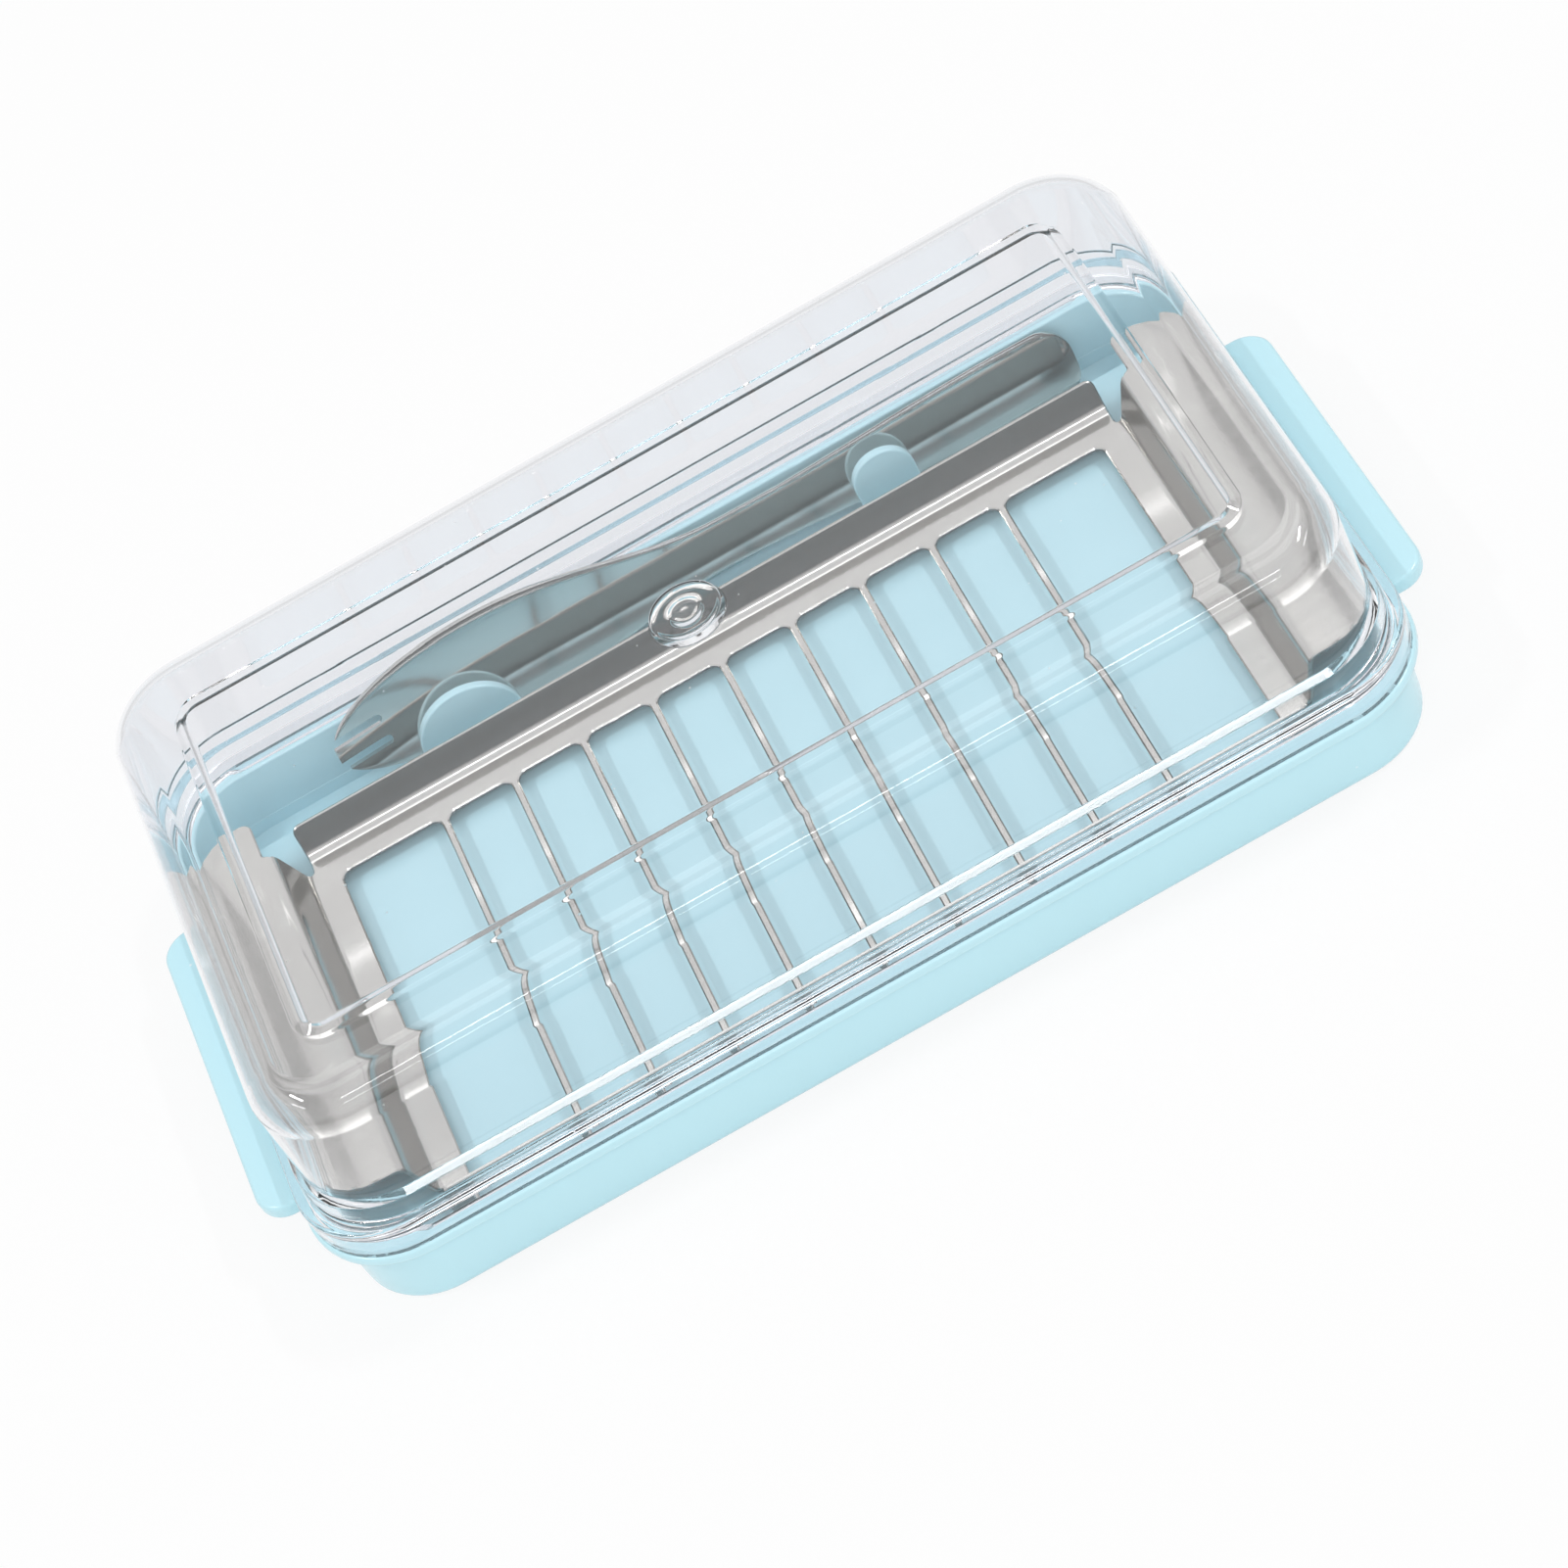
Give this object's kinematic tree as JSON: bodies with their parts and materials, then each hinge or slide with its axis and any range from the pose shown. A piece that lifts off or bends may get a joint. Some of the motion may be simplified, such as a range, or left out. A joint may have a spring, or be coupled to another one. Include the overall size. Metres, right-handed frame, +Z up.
{
  "type": "butter keeper with cutting grid",
  "caption": "Shallow plastic tray with a clear domed lid, a pressed steel cutting grid that slices a block of butter, and a small serving fork standing behind it.",
  "frame": {"origin": "middle of the footprint on the table", "axes": "+X along the keeper's length, with the front towards -Y and +Z up"},
  "size_m": [0.184, 0.1038, 0.0439],
  "materials": {
    "tray_plastic": "smooth light blue moulded plastic",
    "clear_plastic": "clear moulded plastic",
    "grid_steel": "bright rolled stainless sheet",
    "fork_steel": "polished stainless sheet"
  },
  "bodies": {
    "tray": {"tray": "tray_plastic"},
    "grid": {"cutting_bars": "grid_steel", "front_posts": "grid_steel", "grid_front_rail": "grid_steel", "grid_rear_rail": "grid_steel", "grid_left_wing": "grid_steel", "grid_right_wing": "grid_steel"},
    "lid": {"lid": "clear_plastic"},
    "spork": {"serving_fork": "fork_steel"}
  },
  "joints": [
    {"name": "grid_lift", "type": "slide", "parent": "tray", "child": "grid", "axis": [0, 0, 1], "range_m": [0, 0.04]},
    {"name": "lid_lift", "type": "slide", "parent": "grid", "child": "lid", "axis": [0, 0, 1], "range_m": [0, 0.06]},
    {"name": "spork_lift", "type": "slide", "parent": "tray", "child": "spork", "axis": [0, 0, 1], "range_m": [0, 0.0145]}
  ]
}
